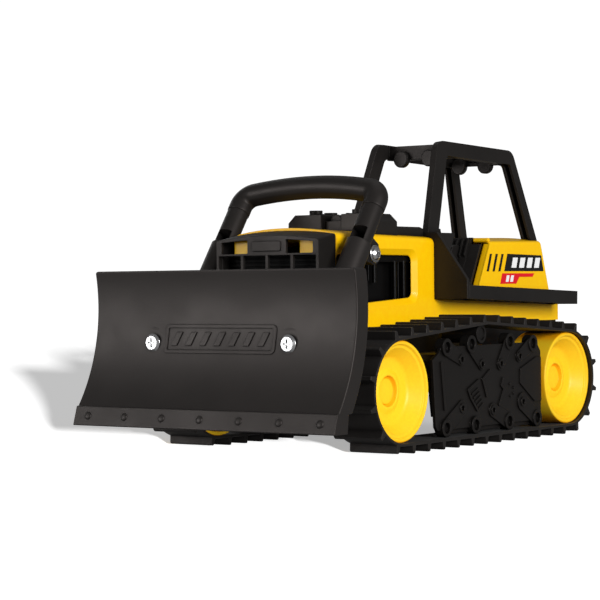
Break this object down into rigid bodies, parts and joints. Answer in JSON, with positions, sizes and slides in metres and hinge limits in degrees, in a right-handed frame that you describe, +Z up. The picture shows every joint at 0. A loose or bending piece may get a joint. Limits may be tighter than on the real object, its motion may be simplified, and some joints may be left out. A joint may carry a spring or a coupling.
{
  "type": "toy bulldozer",
  "caption": "Toy bulldozer with yellow pressed-steel body, dished yellow wheels in black track belts, roll-over frame, and a wide curved blade lifted by a U-shaped grip handle.",
  "frame": {"origin": "on the ground, below the middle of the overall length and width", "axes": "+Z up, blade towards -Y, rear towards +Y, X = 0 is the symmetry plane"},
  "size_m": [0.216, 0.403, 0.2179],
  "materials": {
    "body_yellow": "glossy enamel on pressed steel",
    "wheel_yellow": "smooth moulded plastic",
    "trim_black": "fine textured moulding",
    "blade_black": "satin moulding, fine grain",
    "handle_black": "satin moulding",
    "undercarriage_black": "satin moulding",
    "engine_black": "semi-gloss moulding",
    "belt_rubber": "soft matt vinyl",
    "label_black": "printed film",
    "label_red": "printed film",
    "axle_steel": "drawn steel",
    "bright_zinc": "bright plated"
  },
  "bodies": {
    "root": {"body_shell": "body_yellow", "chassis": "undercarriage_black", "grille_frame": "trim_black", "radiator_panel": "engine_black", "engine_block": "engine_black", "engine_top_cover": "trim_black", "cab_deck": "trim_black", "seat": "trim_black", "rear_cover": "body_yellow", "rops_frame": "trim_black", "work_lamps_front": "trim_black", "work_lamps_rear": "trim_black", "label_panels": "label_black", "label_red": "label_red", "front_axle": "axle_steel", "rear_axle": "axle_steel", "axle_push_nuts": "axle_steel", "track_frame_left": "undercarriage_black", "track_frame_right": "undercarriage_black", "track_belt_left": "belt_rubber", "track_belt_right": "belt_rubber", "pivot_screws": "bright_zinc", "pivot_washers": "bright_zinc", "chassis_screws": "axle_steel", "track_frame_screws": "axle_steel"},
    "lift_frame": {"blade": "blade_black", "blade_screws": "bright_zinc", "push_arm_left": "blade_black", "push_arm_right": "blade_black", "handle_arm_left": "handle_black", "handle_arm_right": "handle_black", "handle_grip": "handle_black"},
    "wheel_front_left_body": {"wheel_front_left": "wheel_yellow", "hub_cap_front_left": "wheel_yellow"},
    "wheel_rear_left_body": {"wheel_rear_left": "wheel_yellow", "hub_cap_rear_left": "wheel_yellow"},
    "carrier_roller_left_body": {"carrier_roller_left": "undercarriage_black"},
    "wheel_front_right_body": {"wheel_front_right": "wheel_yellow", "hub_cap_front_right": "wheel_yellow"},
    "wheel_rear_right_body": {"wheel_rear_right": "wheel_yellow", "hub_cap_rear_right": "wheel_yellow"},
    "carrier_roller_right_body": {"carrier_roller_right": "undercarriage_black"}
  },
  "joints": [
    {"name": "blade_lift", "type": "hinge", "parent": "root", "child": "lift_frame", "pos_m": [0, -0.0788, 0.1331], "axis": [-1, 0, 0], "range_deg": [-8, 20]},
    {"name": "wheel_front_left_spin", "type": "hinge", "parent": "root", "child": "wheel_front_left_body", "pos_m": [-0.075, -0.1017, 0.0414], "axis": [1, 0, 0], "continuous": true},
    {"name": "wheel_rear_left_spin", "type": "hinge", "parent": "root", "child": "wheel_rear_left_body", "pos_m": [-0.075, 0.1248, 0.0414], "axis": [1, 0, 0], "continuous": true},
    {"name": "carrier_roller_left_spin", "type": "hinge", "parent": "root", "child": "carrier_roller_left_body", "pos_m": [-0.074, 0.0063, 0.077], "axis": [1, 0, 0], "continuous": true},
    {"name": "wheel_front_right_spin", "type": "hinge", "parent": "root", "child": "wheel_front_right_body", "pos_m": [0.075, -0.1017, 0.0414], "axis": [1, 0, 0], "continuous": true},
    {"name": "wheel_rear_right_spin", "type": "hinge", "parent": "root", "child": "wheel_rear_right_body", "pos_m": [0.075, 0.1248, 0.0414], "axis": [1, 0, 0], "continuous": true},
    {"name": "carrier_roller_right_spin", "type": "hinge", "parent": "root", "child": "carrier_roller_right_body", "pos_m": [0.074, 0.0063, 0.077], "axis": [1, 0, 0], "continuous": true}
  ],
  "couplings": [
    {"joint": "wheel_rear_left_spin", "follows": "wheel_front_left_spin", "ratio": 1},
    {"joint": "carrier_roller_left_spin", "follows": "wheel_front_left_spin", "ratio": 5.1667},
    {"joint": "wheel_rear_right_spin", "follows": "wheel_front_right_spin", "ratio": 1},
    {"joint": "carrier_roller_right_spin", "follows": "wheel_front_right_spin", "ratio": 5.1667}
  ]
}
